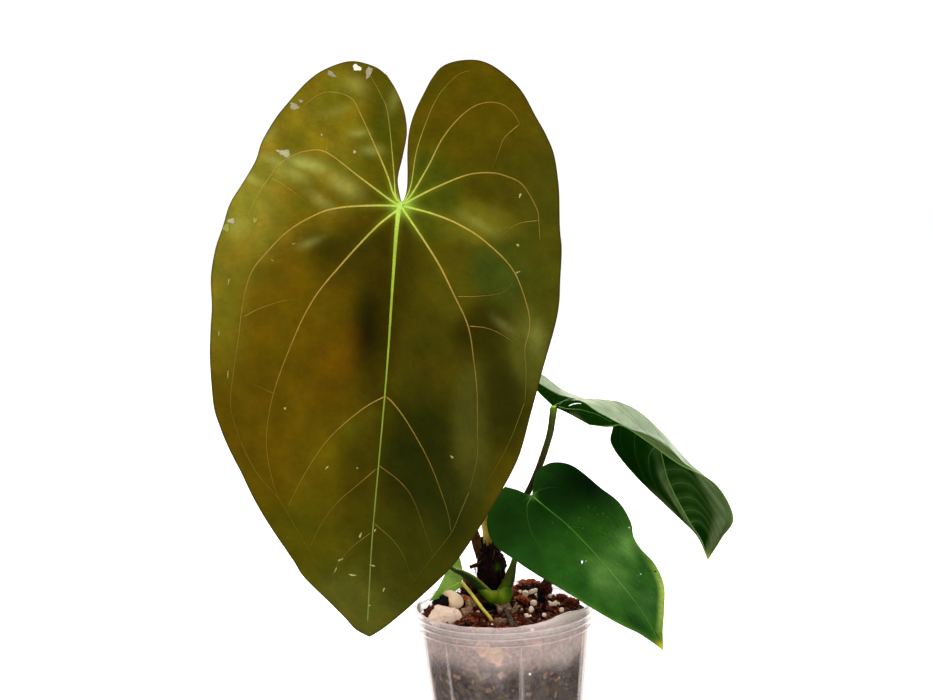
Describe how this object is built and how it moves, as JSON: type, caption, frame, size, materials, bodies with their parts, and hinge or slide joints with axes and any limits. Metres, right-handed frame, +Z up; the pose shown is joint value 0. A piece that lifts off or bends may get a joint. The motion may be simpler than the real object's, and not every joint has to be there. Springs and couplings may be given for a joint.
{
  "type": "potted anthurium",
  "caption": "young anthurium hybrid in a clear nursery pot of bark mix: one large bronze heart-shaped leaf with pale veins, smaller green leaves on thin stalks",
  "frame": {"origin": "centre of the pot's flat base, on the surface that it stands on", "axes": "+Z up; -Y is the side that the large leaf faces; +X to the right of someone who looks at that side"},
  "size_m": [0.2716, 0.1611, 0.3743],
  "materials": {
    "pot_plastic": "clear, slightly milky",
    "bark_mix": "rough",
    "pebble_cream": "smooth",
    "pumice_white": "rough",
    "grey_wood": "rough",
    "stem_brown": "rough",
    "sheath_brown": "rough",
    "petiole_ochre": "satin",
    "petiole_green": "satin",
    "petiole_dark": "satin",
    "petiole_pale": "satin",
    "blade_bronze": "satin",
    "vein_lime": "satin",
    "blade_green": "satin",
    "blade_pale": "satin"
  },
  "bodies": {
    "root": {"pot": "pot_plastic", "potting_mix": "bark_mix", "pebble": "pebble_cream", "pumice": "pumice_white", "bark_stick": "grey_wood", "stem": "stem_brown", "cataphyll": "sheath_brown", "petiole_large": "petiole_ochre", "petiole_back": "petiole_dark", "petiole_front": "petiole_green", "petiole_left": "petiole_green", "petiole_small": "petiole_pale", "leaf_large": "blade_bronze", "leaf_large_veins": "vein_lime", "leaf_front": "blade_green", "leaf_left": "blade_green", "leaf_small": "blade_pale", "leaf_back": "blade_green"}
  },
  "joints": []
}
